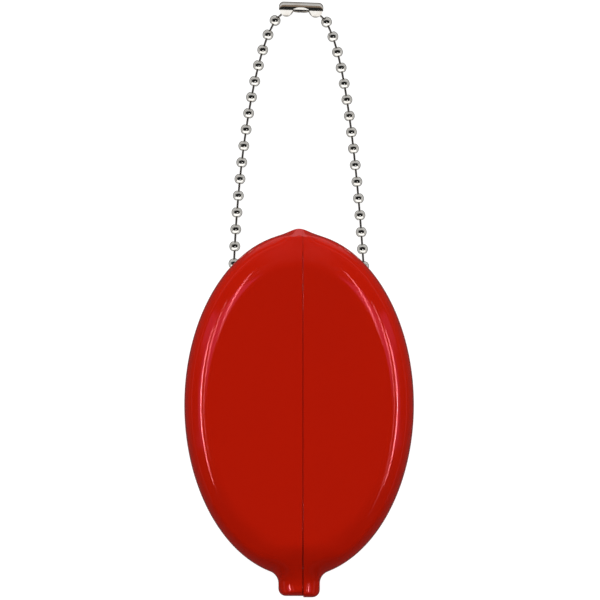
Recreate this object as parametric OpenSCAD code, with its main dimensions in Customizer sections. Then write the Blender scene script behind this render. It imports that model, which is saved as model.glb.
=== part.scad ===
// Squeeze coin purse with a ball chain, lying on its back.
// +X is right, +Y points along the purse towards the chain, +Z is up out of the slit face.
// The origin is the middle of the flat back, on the purse's widest line.
// The shell is one flexible moulding on the real object. It is divided here where it flexes:
// a back, and two lips that turn about the long edges when the ends are squeezed.

/* [Purse] */
// Length of the oval, without its nib and spout
purse_l = 76.4; // [70:0.2:90]
// Width of the oval
purse_w = 51; // [46:0.5:60]
// Thickness over both flat faces
purse_t = 15; // [12:0.5:20]
// Wall of the moulding
wall = 1.8; // [1.2:0.1:2.4]
// Width of the bevelled rim at the long sides
rim_side = 5.5; // [4:0.1:7]
// Width of the bevelled rim at the two ends
rim_end = 8; // [6:0.1:10]
// How far the bevel would fall over the whole rim if its edge weren't rounded
bevel_drop = 2.3; // [1:0.1:4]
// Gap between the back and the lips along the flex line
flex_gap = 0.3; // [0.2:0.05:0.6]

/* [Slit] */
// Place of the slit across the purse
slit_x = 0.85; // [-2:0.05:2]
// Width of the slit
slit_w = 0.3; // [0.2:0.05:0.6]

/* [Nib and spout] */
// Height of the pointed nib above the oval, at the chain end
nib_h = 0.95; // [0:0.05:2]
// Half width of the nib
nib_w = 2.6; // [1:0.1:4]
// Width of the spout
spout_w = 9.2; // [7:0.1:12]
// Length of the spout past the oval
spout_l = 4.2; // [4:0.1:7]
// Radius of the spout's corners
spout_corner_r = 1.7; // [0.8:0.1:2.2]
// Radius of the hollow between spout and oval
spout_fillet_r = 2.8; // [1.5:0.1:4]
// Thickness of the spout, which is a flattened tube
spout_t = 8; // [6:0.5:10]
// How far the right lip stands out past the left one at the spout
lip_step = 0.3; // [0:0.05:0.6]

/* [Chain] */
// Diameter of a ball
ball_d = 2.42; // [2.2:0.02:2.6]
// Wall of a hollow ball
ball_wall = 0.25; // [0.2:0.01:0.3]
// Ball spacing next to the clasp
ball_pitch = 3.53; // [3.45:0.01:3.7]
// How much the spacing grows with each ball, as the pins' play is taken up
pitch_growth = 0.018; // [0:0.001:0.02]
// How many degrees the left strand leans out
left_lean = 6.1; // [2:0.1:8]
// How many degrees the right strand leans out
right_lean = 3.2; // [2:0.1:8]
// Diameter of a pin's shank
pin_d = 0.45; // [0.35:0.01:0.48]
// Diameter of the flat head at each end of a pin, inside a ball
pin_head_d = 1.16; // [1.1:0.01:1.2]
// Thickness of a head
pin_head_t = 0.3; // [0.2:0.01:0.34]
// Diameter of the hole in a ball
pin_hole_d = 1.04; // [1:0.01:1.08]
// Distance from a ball's centre to the centre of a head in it
head_offset = 0.52; // [0.48:0.01:0.56]
// Diameter of the two holes that take the chain into the purse
chain_hole_d = 3; // [2.8:0.1:3.4]

/* [Clasp] */
// Length of the clasp
clasp_l = 9.64; // [9.2:0.02:10.4]
// Height of the clasp from its folded spine to its lobes
clasp_h = 3.35; // [3:0.05:3.8]
// Sheet that the clasp is folded from
clasp_sheet = 0.25; // [0.2:0.01:0.35]
// Room between a ball and the clasp's walls
clasp_play = 0.08; // [0.05:0.01:0.15]
// Height of the slot in the clasp that the pins swing in
clasp_slot = 1.4; // [1.3:0.02:1.6]
// Spacing of the two balls in the clasp
clasp_spacing = 6.44; // [6.2:0.02:6.8]
// How far the left strand's last ball lies under the purse's edge
rim_tuck = 0; // [-0.4:0.1:1]
// How far the clasp's middle stands to the right
clasp_x = 0.44; // [-1:0.02:1]
// How far the clasp is turned
clasp_turn = -2; // [-5:0.5:5]

/* [Hidden] */
STRAND = 15;

left = -1;
right = 1;
top = 1;
bottom = -1;
big = 4 * purse_l;
over = 1;
ball_sides = 48;
pin_sides = 32;

// Purse: half sizes of the oval and of its flat face
half_w = purse_w / 2;
half_l = purse_l / 2;
face_w = half_w - rim_side;
face_l = half_l - rim_end;
mid_z = purse_t / 2;
inner_w = half_w - wall;
inner_l = half_l - wall;
spout_half = spout_w / 2;
bevel_from = 0.45;
round_from = 0.66;
round_power = 2.3;
crease_from = 0.84;
crease_reach = 4.2;
neck_from = 0.25;
neck_to = 0.75;
neck_edge = 8;
neck_fade = 30;
bottom_steps = 3;
corner_steps = 4;
side_steps = 2;
fillet_steps = 4;
oval_steps = 30;
rim_steps = 7;

// Chain: the strands hang from the clasp in a narrow bell
ball_r = ball_d / 2;
lean_top = 40.6;
left_tuck = 6;
right_tuck = 1.9;
tuck_power = 1.3;
entry_turn = 42;
entry_rise = 24;
row_gaps = 5;
row_pitch = 3.64;
row_clear = 0.3;
row_z = wall + row_clear + ball_r;

// Clasp
clasp_pocket = ball_d + 2 * clasp_play;
clasp_t = clasp_pocket + 2 * clasp_sheet;
clasp_z = clasp_t / 2;
lobe_r = (clasp_l - clasp_spacing) / 2;
spine_y = clasp_h - lobe_r;
arch_y = 0.45;
spine_round = 0.9;

function two_digits(k) = k < 10 ? str("0", k) : str(k);
function unit(v) = v / norm(v);
function smooth(v) = let (c = max(0, min(1, v))) c * c * (3 - 2 * c);
function oval(hw, hl, t) = [hw * cos(t), hl * sin(t)];
function oval_normal(t) = unit([half_l * cos(t), half_w * sin(t)]);
function arc(c, r, from, to, steps) =
  [for (i = [0 : steps]) c + r * [cos(from + (to - from) * i / steps), sin(from + (to - from) * i / steps)]];
function line(p, q, steps) = [for (i = [0 : steps - 1]) p + (q - p) * i / steps];

// The angle on the oval where the spout's hollow leaves it, found by halving
function fillet_x(t) = half_w * cos(t) + spout_fillet_r * oval_normal(t).x - spout_half - spout_fillet_r;
function fillet_angle(lo = -90, hi = -45, n = 24) =
  let (m = (lo + hi) / 2)
  n == 0 ? m : fillet_x(m) > 0 ? fillet_angle(lo, m, n - 1) : fillet_angle(m, hi, n - 1);
fillet_t = fillet_angle();
fillet_n = oval_normal(fillet_t);
fillet_c = oval(half_w, half_l, fillet_t) + spout_fillet_r * fillet_n;

// The right half of the spout's outline, from the middle of its end up to the oval
function spout_half_outline(drop) =
  let (end_y = -half_l - spout_l - drop)
  let (corner = [spout_half - spout_corner_r, end_y + spout_corner_r])
  let (lean_in = atan2(-fillet_n.y, -fillet_n.x))
  concat(
    line([0, end_y], [corner.x, end_y], bottom_steps),
    arc(corner, spout_corner_r, -90, 0, corner_steps),
    [for (i = [1 : side_steps - 1]) [spout_half, corner.y + (fillet_c.y - corner.y) * i / side_steps]],
    arc(fillet_c, spout_fillet_r, 180, lean_in, fillet_steps)
  );

// Each point of the half outline with its angle on the oval: [x, y, angle]
function half_outline(drop) =
  let (spout = spout_half_outline(drop))
  let (count = len(spout) - 1)
  concat(
    [for (i = [0 : count]) [spout[i].x, spout[i].y, -90 + (fillet_t + 90) * i / count]],
    [for (i = [1 : oval_steps])
      let (t = fillet_t + (90 - fillet_t) * i / oval_steps)
      let (p = oval(half_w, half_l, t))
      [i == oval_steps ? 0 : p.x, p.y + (t > 0 ? nib_h * exp(-pow(p.x / nib_w, 2)) : 0), t]]
  );

// The whole outline: up the right side and down the left one
function outline(drop) =
  let (half = half_outline(drop))
  concat(half, [for (i = [len(half) - 2 : -1 : 1]) [-half[i].x, half[i].y, 180 - half[i].z]]);

// The rim's profile from the flat face (u = 0) to the edge (u = 1), as a share of the height over the
// flex line: a straight bevel that leaves the face in an arc and ends in a round edge, or at the nib
// (share = 1) in a crease and a steep facet
function bevel(u) = (u < bevel_from ? u * u / bevel_from / 2 : u - bevel_from / 2) / (1 - bevel_from / 2);
function round_edge(u) = sqrt(1 - pow(max(0, (min(1, u) - round_from) / (1 - round_from)), round_power));
function facet(u) = 1 - max(0, (min(1, u) - crease_from) / (1 - crease_from));
function rim_height(u, share) =
  (1 - bevel_drop / mid_z * bevel(min(1, u))) * (share * facet(u) + (1 - share) * round_edge(u));
function crease_share(x, t) = sin(t) > 0 ? exp(-pow(x / crease_reach, 2)) : 0;

// How much of a point's rim has the spout's profile: all of it at the spout, none on the oval
function neck_share(t) = 1 - smooth((180 - abs(t - 90)) / neck_fade);

// Half width of the spout and of the hollows beside it, at a place along it
function spout_reach(y, drop) =
  let (low = -half_l - spout_l - drop + spout_corner_r)
  y < low ? spout_half - spout_corner_r + sqrt(max(0, pow(spout_corner_r, 2) - pow(low - y, 2)))
  : y < fillet_c.y ? spout_half
  : fillet_c.x - sqrt(max(0, pow(spout_fillet_r, 2) - pow(y - fillet_c.y, 2)));

// The spout's profile: it falls from the flat face to a lower tube with an arched top
function spout_height(u, x, y, drop) =
  let (fallen = smooth((u - neck_from) / (neck_to - neck_from)))
  let (arch = sqrt(max(0, 1 - pow(x / spout_reach(y, drop), 2))))
  (1 - fallen * (1 - spout_t / purse_t * arch)) * sqrt(1 - pow(u, neck_edge));

// One closed loop of points between the flat face and the edge
function outer_ring(drop, u, facing) =
  [for (p = outline(drop))
    let (f = oval(face_w, face_l, p.z))
    let (x = f.x + (p.x - f.x) * u)
    let (y = f.y + (p.y - f.y) * u)
    let (neck = neck_share(p.z))
    let (height = (1 - neck) * rim_height(u, crease_share(x, p.z)) + neck * spout_height(u, x, y, drop))
    [x, y, mid_z + facing * (flex_gap / 2 + (mid_z - flex_gap / 2) * height)]];
function inner_ring(drop, u, facing) =
  [for (p = outline(drop))
    let (f = oval(face_w, face_l, p.z))
    let (e = oval(inner_w, inner_l, p.z))
    [f.x + (e.x - f.x) * u, f.y + (e.y - f.y) * u,
      mid_z + facing * (flex_gap / 2 + (mid_z - wall - flex_gap / 2) * rim_height(u, 0))]];
function half_shell_rings(drop, facing) = concat(
  [for (i = [0 : rim_steps]) outer_ring(drop, sin(90 * i / rim_steps), facing)],
  [for (i = [rim_steps : -1 : 0]) inner_ring(drop, sin(90 * i / rim_steps), facing)]
);

// A closed solid through loops of equally many points, the first and last loop being flat faces
module looped_solid(rings, flip) {
  n = len(rings[0]);
  m = len(rings);
  sides = [for (j = [0 : m - 2]) for (i = [0 : n - 1])
    let (a = j * n + i, b = j * n + (i + 1) % n)
    each [[a, b, b + n], [a, b + n, a + n]]];
  faces = concat([[for (i = [n - 1 : -1 : 0]) i]], sides, [[for (i = [0 : n - 1]) (m - 1) * n + i]]);
  polyhedron(
    points = [for (ring = rings) each ring],
    faces = flip ? [for (f = faces) [for (i = [len(f) - 1 : -1 : 0]) f[i]]] : faces,
    convexity = 6
  );
}

module half_shell(drop, facing) {
  looped_solid(half_shell_rings(drop, facing), facing == top);
}

// The space to the left or right of the slit
module beside_slit(side) {
  edge = slit_x + side * slit_w / 2;
  translate([side < 0 ? edge - big : edge, -big / 2, -big / 2])
    cube(big);
}

// A round bar between two points
module bar(p, q, d) {
  v = q - p;
  translate(p)
    rotate([0, acos(v.z / norm(v)), atan2(v.y, v.x)])
      cylinder(d = d, h = norm(v), $fn = pin_sides);
}

// Centres of the chain's balls. Ball 0 is in the clasp, ball STRAND + 1 is at the purse's rim.
function pitch(k) = ball_pitch + pitch_growth * k;
function lean(side, k) =
  (side < 0 ? left_lean : right_lean) + lean_top / (1 + k)
  - (side < 0 ? left_tuck : right_tuck) * pow(k / STRAND, tuck_power);
function strand_xy(side, k) =
  k == 0 ? [clasp_x, 0] + side * clasp_spacing / 2 * [cos(clasp_turn), sin(clasp_turn)]
  : strand_xy(side, k - 1) + pitch(k - 1) * [side * sin(lean(side, k - 1)), -cos(lean(side, k - 1))];
left_end = strand_xy(left, STRAND + 1);
clasp_y = half_l * sqrt(1 - pow(left_end.x / half_w, 2)) - rim_tuck - left_end.y;
function strand_ball(side, k) =
  let (p = strand_xy(side, k))
  [p.x, p.y + clasp_y, k == 0 ? clasp_z : ball_r];
function rim_ball(side) = strand_ball(side, STRAND + 1);
function hole_ball(side) =
  rim_ball(side) + row_pitch * [
    -side * cos(entry_rise) * sin(entry_turn),
    -cos(entry_rise) * cos(entry_turn),
    sin(entry_rise)
  ];

// Inside, a slack row of balls bows away from the chain holes
row_a = hole_ball(left);
row_b = hole_ball(right);
function row_step(z) = sqrt(pow(row_pitch, 2) - pow(row_z - z, 2));
row_start = [row_a.x + row_step(row_a.z), row_a.y, row_z];
row_end = [row_b.x - row_step(row_b.z), row_b.y, row_z];
row_chord = norm(row_end - row_start);
row_heading = atan2(row_end.y - row_start.y, row_end.x - row_start.x);
function bow_length(d) = row_pitch * sum_cos(d, row_gaps - 1);
function sum_cos(d, i) = i < 0 ? 0 : cos((i - (row_gaps - 1) / 2) * d) + sum_cos(d, i - 1);
function bow(lo = 0, hi = 60, n = 24) =
  let (m = (lo + hi) / 2)
  n == 0 ? m : bow_length(m) > row_chord ? bow(m, hi, n - 1) : bow(lo, m, n - 1);
row_bow = bow();
function row_ball(i) =
  i == 0 ? row_start
  : let (a = row_heading + (i - 1 - (row_gaps - 1) / 2) * row_bow)
    row_ball(i - 1) + row_pitch * [cos(a), sin(a), 0];

// Every ball in order from the left clasp ball, down, through the purse and up to the right clasp ball
loop_balls = concat(
  [for (k = [0 : STRAND + 1]) strand_ball(left, k)],
  [row_a],
  [for (i = [0 : row_gaps]) row_ball(i)],
  [row_b],
  [for (k = [STRAND + 1 : -1 : 0]) strand_ball(right, k)]
);
loop_count = len(loop_balls);
function left_index(k) = k;
function right_index(k) = loop_count - 1 - k;
first_row = STRAND + 3;

// A hollow ball, with a hole towards each neighbour on the chain
module chain_ball(i) {
  c = loop_balls[i];
  along = loop_balls[min(i + 1, loop_count - 1)] - loop_balls[max(i - 1, 0)];
  color("silver")
    difference() {
      translate(c)
        rotate([0, 0, 90 + atan2(along.y, along.x)])
          difference() {
            sphere(d = ball_d, $fn = ball_sides);
            sphere(d = ball_d - 2 * ball_wall, $fn = ball_sides);
          }
      for (j = [i - 1, i + 1])
        if (j >= 0 && j < loop_count)
          bar(c, c + unit(loop_balls[j] - c) * ball_d, pin_hole_d);
    }
}

// The pin between ball i and the next one, with a head in each
module chain_pin(i) {
  way = unit(loop_balls[i + 1] - loop_balls[i]);
  p = loop_balls[i] + way * head_offset;
  q = loop_balls[i + 1] - way * head_offset;
  color("dimgray")
    union() {
      bar(p, q, pin_d);
      bar(p - way * pin_head_t / 2, p + way * pin_head_t / 2, pin_head_d);
      bar(q - way * pin_head_t / 2, q + way * pin_head_t / 2, pin_head_d);
    }
}

// The pins that leave ball k of both strands towards the purse
module pin_pair(k) {
  chain_pin(left_index(k));
  chain_pin(right_index(k) - 1);
}

// A hole through the back's rounded edge, in line with the balls outside and inside
module chain_hole(side) {
  p = rim_ball(side);
  q = hole_ball(side);
  way = unit(q - p);
  bar(p - way * over, q + way * ball_d, chain_hole_d);
}

module back_shell() {
  color([0.67, 0.08, 0.03])
    difference() {
      half_shell(0, bottom);
      chain_hole(left);
      chain_hole(right);
    }
}

module lip(side) {
  color([0.7, 0.09, 0.04])
    intersection() {
      half_shell(side < 0 ? 0 : lip_step, top);
      beside_slit(side);
    }
}

// The clasp's side view: a spine over two round lobes, with ball centres on y = 0
module clasp_outline(inset) {
  r = lobe_r - inset;
  top_y = spine_y - inset;
  half = clasp_l / 2 - inset;
  low_y = inset > 0 ? -lobe_r : arch_y;
  arch_half = clasp_spacing / 2 - r / 2;
  union() {
    for (side = [left, right]) {
      translate([side * clasp_spacing / 2, 0])
        circle(r = r, $fn = ball_sides);
      translate([side < 0 ? -half : clasp_spacing / 2, 0])
        square([half - clasp_spacing / 2, top_y - spine_round]);
      translate([side * (half - spine_round), top_y - spine_round])
        circle(r = spine_round, $fn = ball_sides);
    }
    translate([-clasp_spacing / 2, arch_y])
      square([clasp_spacing, top_y - arch_y]);
    translate([-half + spine_round, top_y - spine_round])
      square([2 * (half - spine_round), spine_round]);
    translate([-arch_half, low_y])
      square([2 * arch_half, top_y - low_y]);
  }
}

module clasp() {
  color("silver")
    translate([clasp_x, clasp_y, clasp_z])
      rotate([0, 0, clasp_turn])
        difference() {
          translate([0, 0, -clasp_t / 2])
            linear_extrude(height = clasp_t)
              clasp_outline(0);
          translate([0, 0, -clasp_pocket / 2])
            linear_extrude(height = clasp_pocket)
              clasp_outline(clasp_sheet);
          translate([-clasp_l, -clasp_h, -clasp_slot / 2])
            cube([2 * clasp_l, clasp_h + arch_y, clasp_slot]);
        }
}

back_shell();
lip(left);  // left_lip
lip(right);  // right_lip
clasp();
chain_ball(left_index(0));  // clasp_ball_left
chain_ball(right_index(0));  // clasp_ball_right
pin_pair(0);  // clasp_pins
for (k = [1 : STRAND]) {
  chain_ball(left_index(k));
  chain_ball(right_index(k));
  pin_pair(k);
}
chain_ball(left_index(STRAND + 1));  // left_rim_ball
chain_ball(right_index(STRAND + 1));  // right_rim_ball
union() {  // hole_balls
  chain_ball(left_index(STRAND + 2));
  chain_ball(right_index(STRAND + 2));
}
for (i = [0 : row_gaps]) chain_ball(first_row + i);  // hidden_balls
for (i = [STRAND + 1 : loop_count - STRAND - 3]) chain_pin(i);  // hidden_pins
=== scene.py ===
import math

import bpy
import numpy as np
from mathutils import Matrix, Vector


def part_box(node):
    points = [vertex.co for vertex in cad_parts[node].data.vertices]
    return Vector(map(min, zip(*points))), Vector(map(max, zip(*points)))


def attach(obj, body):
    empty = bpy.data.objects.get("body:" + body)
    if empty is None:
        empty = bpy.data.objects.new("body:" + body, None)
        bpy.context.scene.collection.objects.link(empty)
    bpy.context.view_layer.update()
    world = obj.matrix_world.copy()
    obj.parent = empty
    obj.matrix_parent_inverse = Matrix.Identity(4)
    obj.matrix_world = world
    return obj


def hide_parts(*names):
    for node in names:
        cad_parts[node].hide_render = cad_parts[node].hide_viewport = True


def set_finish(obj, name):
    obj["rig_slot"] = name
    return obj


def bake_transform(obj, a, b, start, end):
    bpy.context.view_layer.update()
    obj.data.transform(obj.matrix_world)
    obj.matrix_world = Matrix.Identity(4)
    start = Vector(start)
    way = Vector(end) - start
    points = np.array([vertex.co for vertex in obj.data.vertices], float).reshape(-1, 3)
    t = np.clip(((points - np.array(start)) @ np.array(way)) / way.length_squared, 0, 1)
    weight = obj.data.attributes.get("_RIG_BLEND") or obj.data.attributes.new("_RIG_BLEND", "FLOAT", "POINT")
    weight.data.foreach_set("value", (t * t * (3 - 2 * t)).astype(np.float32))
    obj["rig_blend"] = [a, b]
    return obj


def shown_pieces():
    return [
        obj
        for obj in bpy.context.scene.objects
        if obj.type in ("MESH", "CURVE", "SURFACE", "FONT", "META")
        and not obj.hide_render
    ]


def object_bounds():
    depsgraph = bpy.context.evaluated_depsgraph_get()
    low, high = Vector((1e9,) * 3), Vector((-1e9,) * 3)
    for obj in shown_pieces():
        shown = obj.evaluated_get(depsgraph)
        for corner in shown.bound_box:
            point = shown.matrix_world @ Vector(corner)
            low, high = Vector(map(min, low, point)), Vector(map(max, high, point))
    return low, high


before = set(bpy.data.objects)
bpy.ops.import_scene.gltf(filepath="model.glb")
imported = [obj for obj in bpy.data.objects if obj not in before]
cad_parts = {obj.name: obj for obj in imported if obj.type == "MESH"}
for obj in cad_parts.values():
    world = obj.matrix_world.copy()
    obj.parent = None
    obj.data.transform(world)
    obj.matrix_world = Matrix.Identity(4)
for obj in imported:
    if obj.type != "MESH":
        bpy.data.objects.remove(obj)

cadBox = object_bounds()
millimetre = 0.001  # shapes are worked out in millimetres and baked in metres

photo = {
    "width": 133.2,  # what the frame shows, mm
    "middle": (0.2, 23.3),  # mm
    "lens": 1000,  # mm; a long one, as the purse shows no perspective
    "sensor": 36,
}


def addObject(name, data):
    made = bpy.data.objects.new(name, data)
    bpy.context.scene.collection.objects.link(made)
    return made


def makeCamera():
    data = bpy.data.cameras.new("photoCamera")
    data.lens, data.sensor_width = photo["lens"], photo["sensor"]
    camera = addObject("photoCamera", data)
    distance = photo["width"] * photo["lens"] / data.sensor_width
    middleZ = (cadBox[0].z + cadBox[1].z) / 2 / millimetre
    camera.location = Vector((*photo["middle"], distance + middleZ)) * millimetre
    bpy.context.scene.camera = camera


makeCamera()
print("camera made")


def mathWith(operation):
    return lambda self, other: self.math(operation, other)


class Field:
    # A socket in a node tree. Its operators add Math nodes, so that a formula reads as one.
    def __init__(self, tree, socket):
        self.tree = tree
        self.socket = socket

    def math(self, operation, *others, first=None, clamp=False):
        node = self.tree.nodes.new("ShaderNodeMath")
        node.operation = operation
        node.use_clamp = clamp
        values = [self, *others] if first is None else [first, self]
        feed(self.tree, node, enumerate(values))
        return Field(self.tree, node.outputs[0])

    __add__ = __radd__ = mathWith("ADD")
    __mul__ = __rmul__ = mathWith("MULTIPLY")
    __sub__ = mathWith("SUBTRACT")
    __truediv__ = mathWith("DIVIDE")
    __pow__ = mathWith("POWER")
    above = mathWith("MAXIMUM")
    below = mathWith("MINIMUM")

    def __rsub__(self, other):
        return self.math("SUBTRACT", first=other)

    def root(self):
        return self.above(0).math("SQRT")

    def smooth(self):  # eases from 0 to 1
        held = self.math("ADD", 0.0, clamp=True)
        return held * held * (3 - 2 * held)


def feed(tree, node, links):
    # Gives each input a field, a socket or a plain value.
    for target, source in dict(links).items():
        if isinstance(source, Field):
            source = source.socket
        if isinstance(source, bpy.types.NodeSocket):
            tree.links.new(source, node.inputs[target])
        else:
            node.inputs[target].default_value = source


def groupEnds(tree):
    # The tree, its output node, and a function that gives its named inputs as fields.
    start = tree.nodes.new("NodeGroupInput")
    end = tree.nodes.new("NodeGroupOutput")
    return tree, end, lambda label: Field(tree, start.outputs[label])


def newTree(name, sizes):
    tree = bpy.data.node_groups.new(name, "GeometryNodeTree")
    tree.interface.new_socket(name="Geometry", in_out="INPUT", socket_type="NodeSocketGeometry")
    for label, value in sizes.items():
        isFinish = isinstance(value, bpy.types.Material)
        kind = "Material" if isFinish else "Int" if isinstance(value, int) else "Float"
        socket = tree.interface.new_socket(name=label, in_out="INPUT", socket_type="NodeSocket" + kind)
        if not isFinish:
            socket.default_value = value
    tree.interface.new_socket(name="Geometry", in_out="OUTPUT", socket_type="NodeSocketGeometry")
    return groupEnds(tree)


def addNode(tree, kind, links=(), **settings):
    node = tree.nodes.new(kind)
    for key, value in settings.items():
        setattr(node, key, value)
    feed(tree, node, links)
    return node


def closeTree(tree, finish, end, geometry):
    # Every tree ends in plain geometry with its finish on it.
    real = addNode(tree, "GeometryNodeRealizeInstances", {"Geometry": geometry})
    finished = addNode(tree, "GeometryNodeSetMaterial", {"Geometry": real.outputs[0], "Material": finish})
    feed(tree, end, {"Geometry": finished.outputs[0]})
    return tree


def readAttribute(tree, name, kind="FLOAT"):
    node = addNode(tree, "GeometryNodeInputNamedAttribute", {"Name": name}, data_type=kind)
    return node.outputs["Attribute"]


def splitVector(tree, node):
    split = addNode(tree, "ShaderNodeSeparateXYZ", {"Vector": node.outputs[0]})
    return [Field(tree, socket) for socket in split.outputs]


def placeAndWeld(tree, geometry, x, y, z, weld):
    # Puts every point at x, y, z and joins the points that meet.
    put = addNode(tree, "ShaderNodeCombineXYZ", {"X": x, "Y": y, "Z": z})
    moved = addNode(tree, "GeometryNodeSetPosition", {"Geometry": geometry, "Position": put.outputs[0]})
    return addNode(tree, "GeometryNodeMergeByDistance", {"Geometry": moved.outputs[0], "Distance": weld})


def meshFrom(name, points, faces=(), edges=()):
    mesh = bpy.data.meshes.new(name)
    mesh.from_pydata([tuple(map(float, p)) for p in points], edges, faces)
    return addObject(name, mesh)


def setAttribute(piece, name, values, kind="FLOAT"):
    attribute = piece.data.attributes.new(name, kind, "POINT")
    field = "vector" if kind == "FLOAT_VECTOR" else "value"
    attribute.data.foreach_set(field, np.asarray(values, np.float32).ravel())


def growWith(piece, tree, sizes):
    modifier = piece.modifiers.new(tree.name, "NODES")
    modifier.node_group = tree
    for item in tree.interface.items_tree:
        if item.in_out == "INPUT" and item.name in sizes:
            modifier[item.identifier] = sizes[item.name]


def bake(piece, sharpAngle=None):
    # Turns a piece and its modifiers into one plain mesh in metres.
    evaluated = piece.evaluated_get(bpy.context.evaluated_depsgraph_get())
    mesh = bpy.data.meshes.new_from_object(evaluated)
    for attribute in [a.name for a in mesh.attributes if a.name[:2] in ("s_", "b_")]:
        mesh.attributes.remove(mesh.attributes[attribute])
    mesh.transform(Matrix.Scale(millimetre, 4))
    piece.modifiers.clear()
    old = piece.data
    piece.data = mesh
    bpy.data.meshes.remove(old)
    mesh.name = piece.name
    mesh.polygons.foreach_set("use_smooth", [True] * len(mesh.polygons))
    if sharpAngle is not None:
        mesh.set_sharp_from_angle(angle=math.radians(sharpAngle))
    return piece


# Finishes

def newGroup(name, inputs, outputs):
    group = bpy.data.node_groups.new(name, "ShaderNodeTree")
    for label, value in inputs.items():
        socket = group.interface.new_socket(name=label, in_out="INPUT", socket_type="NodeSocketFloat")
        socket.default_value = value
    for label in outputs:
        group.interface.new_socket(name=label, in_out="OUTPUT", socket_type="NodeSocketFloat")
    return groupEnds(group)


def noiseField(group, place, scale, detail=2.0):
    noise = addNode(group, "ShaderNodeTexNoise", {"Vector": place, "Scale": scale, "Detail": detail})
    return Field(group, noise.outputs["Fac"])


def makeMottleGroup():
    # Slow and fine variation over a surface, each from -1 to 1.
    sizes = {"Slow Scale": 60.0, "Fine Scale": 900.0}
    group, end, size = newGroup("surfaceMottle", sizes, ("Slow", "Fine"))
    place = addNode(group, "ShaderNodeTexCoord").outputs["Object"]
    for label in ("Slow", "Fine"):
        level = noiseField(group, place, size(label + " Scale"), 4.0) * 4 - 2
        feed(group, end, {label: level.above(-1).below(1)})
    return group


def makeScuffGroup():
    # Hairline scuffs: thin streaks of stretched noise in worn patches, 0 to 1.
    sizes = {"Scale": 300.0, "Amount": 0.5}
    group, end, size = newGroup("hairlineScuffs", sizes, ("Mask",))
    place = addNode(group, "ShaderNodeTexCoord").outputs["Object"]
    streaks = None
    for turn, stretch in ((0.5, 14.0), (-0.9, 9.0)):
        turned = addNode(group, "ShaderNodeMapping", {
            "Vector": place, "Rotation": (0.3, 0.2, turn), "Scale": (stretch, 1.0, 1.0),
        })
        line = ((noiseField(group, turned.outputs[0], size("Scale")) - 0.66) * 9).smooth()
        streaks = line if streaks is None else streaks.math("MAXIMUM", line)
    worn = ((noiseField(group, place, 90.0) - 0.5) * 5).smooth()
    feed(group, end, {"Mask": streaks * worn * size("Amount")})
    return group


def makeEdgeGroup():
    # A mask that rises on outer edges, broken up by noise.
    sizes = {"From": 0.53, "Sharpness": 8.0, "Amount": 1.0}
    group, end, size = newGroup("edgeWear", sizes, ("Mask",))
    point = addNode(group, "ShaderNodeNewGeometry").outputs["Pointiness"]
    place = addNode(group, "ShaderNodeTexCoord").outputs["Object"]
    broken = noiseField(group, place, 700.0, 3.0) * 1.4
    edge = ((Field(group, point) - size("From")) * size("Sharpness")).smooth()
    feed(group, end, {"Mask": (edge * broken * size("Amount")).below(1)})
    return group


mottleGroup = makeMottleGroup()
scuffGroup = makeScuffGroup()
edgeGroup = makeEdgeGroup()


def mixColour(tree, share, first, second):
    node = addNode(tree, "ShaderNodeMix", {"Factor": share}, data_type="RGBA")
    for target, value in (("A", first), ("B", second)):
        socket = next(s for s in node.inputs if s.name == target and s.type == "RGBA")
        if isinstance(value, bpy.types.NodeSocket):
            tree.links.new(value, socket)
        else:
            socket.default_value = (*value, 1)
    return next(s for s in node.outputs if s.type == "RGBA")


def newMaterial(name, values):
    material = bpy.data.materials.new(name)
    material.use_nodes = True
    tree = material.node_tree
    shader = tree.nodes["Principled BSDF"]
    feed(tree, shader, values)
    return material, tree, shader


def placeWear(tree, look):
    # What varies over every finish: slow and fine mottle, worn edges and scuffs.
    groups = {
        mottleGroup: {"Slow Scale": look["slowScale"], "Fine Scale": look["fineScale"]},
        edgeGroup: {"From": look["edgeFrom"], "Amount": look["edgeWear"]},
        scuffGroup: {"Scale": look["scuffScale"], "Amount": look["scuffs"]},
    }
    nodes = [addNode(tree, "ShaderNodeGroup", sizes, node_tree=group) for group, sizes in groups.items()]
    return [Field(tree, socket) for node in nodes for socket in node.outputs]


def finishShader(tree, shader, tint, rough, height, distance, strength):
    bump = addNode(tree, "ShaderNodeBump", {"Height": height, "Distance": distance, "Strength": strength})
    feed(tree, shader, {"Base Color": tint, "Roughness": rough, "Normal": bump.outputs["Normal"]})


vinyl = {
    "colour": (0.425, 0.0082, 0.0012),
    "deepColour": (0.38, 0.0065, 0.0009),
    "wornColour": (0.5, 0.016, 0.006),
    "sheenTint": (1.0, 0.27, 0.31, 1.0),
    "gloss": 1.55,  # index of refraction
    "roughness": 0.09,
    "grain": 0.000002,  # height of the moulding's orange peel, m
    "slowScale": 45.0,
    "fineScale": 700.0,
    "scuffScale": 260.0,
    "scuffs": 0.35,
    "edgeFrom": 0.6,
    "edgeWear": 0.15,
}


def makeVinyl():
    values = {"IOR": vinyl["gloss"], "Specular Tint": vinyl["sheenTint"]}
    material, tree, shader = newMaterial("redVinyl", values)
    slow, fine, worn, scuffed = placeWear(tree, vinyl)
    tint = mixColour(tree, slow * 0.12 + 0.12, vinyl["colour"], vinyl["deepColour"])
    tint = mixColour(tree, (worn + scuffed * 0.15).below(1), tint, vinyl["wornColour"])
    rough = slow * 0.015 + fine * 0.01 + scuffed * 0.12 + worn * 0.2 + vinyl["roughness"]
    finishShader(tree, shader, tint, rough, fine * 0.4 + slow - scuffed * 0.5, vinyl["grain"], 0.6)
    return material


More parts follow.
